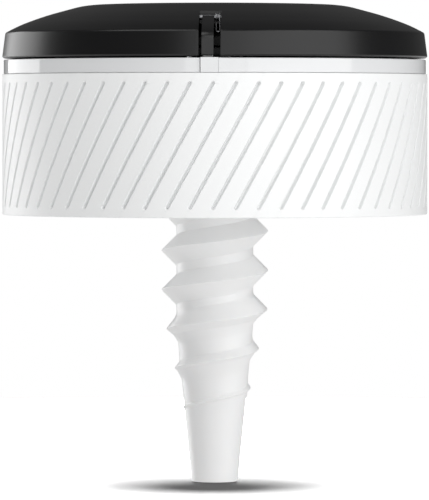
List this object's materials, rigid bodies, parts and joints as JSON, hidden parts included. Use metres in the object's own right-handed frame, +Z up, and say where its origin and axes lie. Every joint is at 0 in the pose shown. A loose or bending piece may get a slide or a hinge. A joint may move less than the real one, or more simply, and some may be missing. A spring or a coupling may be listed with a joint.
{
  "type": "liquor pour spout",
  "caption": "Screw-in bottle pour spout with a tapered threaded stopper, a wide grip drum holding a metering chamber, and a latched flip lid over the nozzle.",
  "frame": {"origin": "middle of the stopper's tip, the lowest point", "axes": "+Z up the stopper to the lid, -Y towards the latch, +Y towards the lid hinge"},
  "size_m": [0.084, 0.084, 0.0942],
  "materials": {
    "stopper_plastic": "slightly translucent white moulded polypropylene",
    "drum_plastic": "satin white moulded ABS",
    "band_plastic": "glossy white moulded ABS",
    "inner_plastic": "natural white acetal",
    "chamber_plastic": "clear moulded copolyester",
    "lid_plastic": "satin black moulded ABS",
    "lever_plastic": "semi-gloss black acetal",
    "seal_rubber": "black silicone rubber",
    "bright_steel": "polished stainless steel",
    "screw_steel": "plain stainless steel",
    "spring_steel": "bright drawn spring wire"
  },
  "bodies": {
    "spout_body": {"ball_cage": "inner_plastic", "base_screw_1": "screw_steel", "base_screw_2": "screw_steel", "base_screw_3": "screw_steel", "base_screw_4": "screw_steel", "bracket_screw_1": "screw_steel", "bracket_screw_2": "screw_steel", "breather_housing": "inner_plastic", "breather_tube": "bright_steel", "chamber_base": "inner_plastic", "chamber_seal_lower": "seal_rubber", "chamber_seal_upper": "seal_rubber", "collar_ring": "band_plastic", "deck_plate": "drum_plastic", "deck_screw_1": "screw_steel", "deck_screw_2": "screw_steel", "deck_screw_3": "screw_steel", "deck_screw_4": "screw_steel", "grip_drum": "drum_plastic", "hinge_bracket": "lever_plastic", "hinge_pin": "bright_steel", "keeper_tab": "band_plastic", "metering_chamber": "chamber_plastic", "nozzle_gasket": "seal_rubber", "nozzle_screw_1": "screw_steel", "nozzle_screw_2": "screw_steel", "nozzle_screw_3": "screw_steel", "pour_nozzle": "bright_steel", "screw_stopper": "stopper_plastic", "stopper_gasket": "seal_rubber", "strainer_screen": "bright_steel"},
    "lid": {"lid_shell": "lid_plastic", "lid_liner": "lid_plastic", "liner_screw_1": "screw_steel", "liner_screw_2": "screw_steel", "liner_screw_3": "screw_steel", "lid_gasket": "seal_rubber", "nozzle_plug": "seal_rubber", "latch_pin": "bright_steel", "latch_spring": "spring_steel"},
    "latch": {"latch_lever": "lever_plastic"},
    "metering_ball": {"metering_ball": "bright_steel"},
    "breather_ball": {"breather_ball": "bright_steel"}
  },
  "joints": [
    {"name": "lid_hinge", "type": "hinge", "parent": "spout_body", "child": "lid", "pos_m": [0, 0.0392, 0.0856], "axis": [-1, 0, 0], "range_deg": [0, 95]},
    {"name": "latch_pivot", "type": "hinge", "parent": "lid", "child": "latch", "pos_m": [-0.00038, -0.0336, 0.0912], "axis": [-1, 0, 0], "range_deg": [0, 28], "stiffness_Nm_per_rad": 0.001, "springref_deg": -17.19},
    {"name": "metering_ball_slide", "type": "slide", "parent": "spout_body", "child": "metering_ball", "axis": [0, 0, 1], "range_m": [0, 0.005]},
    {"name": "breather_ball_slide", "type": "slide", "parent": "spout_body", "child": "breather_ball", "axis": [0, 0, 1], "range_m": [0, 0.0016]}
  ]
}
